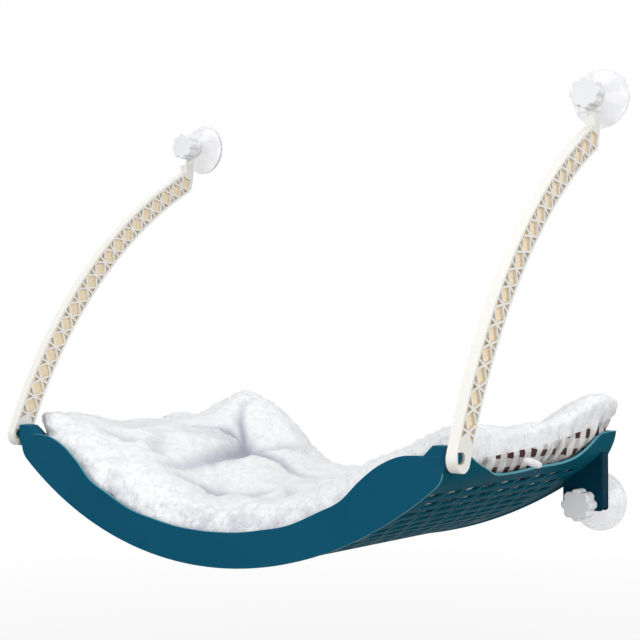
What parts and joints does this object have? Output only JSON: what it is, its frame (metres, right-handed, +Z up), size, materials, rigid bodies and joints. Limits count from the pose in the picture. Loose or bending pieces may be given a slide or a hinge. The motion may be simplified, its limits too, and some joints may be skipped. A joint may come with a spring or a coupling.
{
  "type": "cat window bed",
  "caption": "Window-mounted cat bed: a slotted trough tray with a soft cushion, hung from two curved arms and four suction cups.",
  "frame": {"origin": "on the glass plane, midway between the two lower suction cups' axes", "axes": "+X across the bed to the picture's right, +Y from the room into the window, +Z up"},
  "size_m": [0.594, 0.3013, 0.4844],
  "materials": {
    "tray_plastic": "moulded, fine satin texture",
    "arm_plastic": "moulded, satin",
    "cushion_plush": "white plush top, brown and white check below",
    "cup_vinyl": "clear soft vinyl",
    "stud_plastic": "moulded, satin",
    "knob_plastic": "moulded, satin",
    "insert_brass": "plain brass-coloured threaded insert"
  },
  "bodies": {
    "tray": {"tray": "tray_plastic", "pivot_pin_left": "tray_plastic", "pivot_pin_right": "tray_plastic", "cushion": "cushion_plush"},
    "arm_left": {"arm_left": "arm_plastic"},
    "arm_right": {"arm_right": "arm_plastic"},
    "cup_upper_left": {"suction_cup_upper_left": "cup_vinyl", "stud_upper_left": "stud_plastic"},
    "knob_upper_left": {"knob_upper_left": "knob_plastic", "knob_insert_upper_left": "insert_brass"},
    "cup_upper_right": {"suction_cup_upper_right": "cup_vinyl", "stud_upper_right": "stud_plastic"},
    "knob_upper_right": {"knob_upper_right": "knob_plastic", "knob_insert_upper_right": "insert_brass"},
    "cup_lower_left": {"suction_cup_lower_left": "cup_vinyl", "stud_lower_left": "stud_plastic"},
    "knob_lower_left": {"knob_lower_left": "knob_plastic", "knob_insert_lower_left": "insert_brass"},
    "cup_lower_right": {"suction_cup_lower_right": "cup_vinyl", "stud_lower_right": "stud_plastic"},
    "knob_lower_right": {"knob_lower_right": "knob_plastic", "knob_insert_lower_right": "insert_brass"}
  },
  "joints": [
    {"name": "arm_fold_left", "type": "hinge", "parent": "tray", "child": "arm_left", "pos_m": [-0.27, -0.292, 0.0615], "axis": [1, 0, 0], "range_deg": [-30, 120]},
    {"name": "arm_fold_right", "type": "hinge", "parent": "tray", "child": "arm_right", "pos_m": [0.27, -0.292, 0.0615], "axis": [1, 0, 0], "range_deg": [-30, 120]},
    {"name": "cup_swivel_upper_left", "type": "hinge", "parent": "arm_left", "child": "cup_upper_left", "pos_m": [-0.267, 0, 0.402], "axis": [0, 1, 0], "continuous": true},
    {"name": "cup_swivel_upper_right", "type": "hinge", "parent": "arm_right", "child": "cup_upper_right", "pos_m": [0.267, 0, 0.402], "axis": [0, 1, 0], "continuous": true},
    {"name": "cup_release_lower_left", "type": "slide", "parent": "tray", "child": "cup_lower_left", "axis": [0, 0, -1], "range_m": [0, 0.03]},
    {"name": "cup_release_lower_right", "type": "slide", "parent": "tray", "child": "cup_lower_right", "axis": [0, 0, -1], "range_m": [0, 0.03]},
    {"name": "knob_turn_upper_left", "type": "hinge", "parent": "cup_upper_left", "child": "knob_upper_left", "pos_m": [-0.267, 0, 0.402], "axis": [0, -1, 0], "continuous": true},
    {"name": "knob_turn_upper_right", "type": "hinge", "parent": "cup_upper_right", "child": "knob_upper_right", "pos_m": [0.267, 0, 0.402], "axis": [0, -1, 0], "continuous": true},
    {"name": "knob_turn_lower_left", "type": "hinge", "parent": "cup_lower_left", "child": "knob_lower_left", "pos_m": [-0.261, 0, 0], "axis": [0, -1, 0], "continuous": true},
    {"name": "knob_turn_lower_right", "type": "hinge", "parent": "cup_lower_right", "child": "knob_lower_right", "pos_m": [0.261, 0, 0], "axis": [0, -1, 0], "continuous": true}
  ]
}
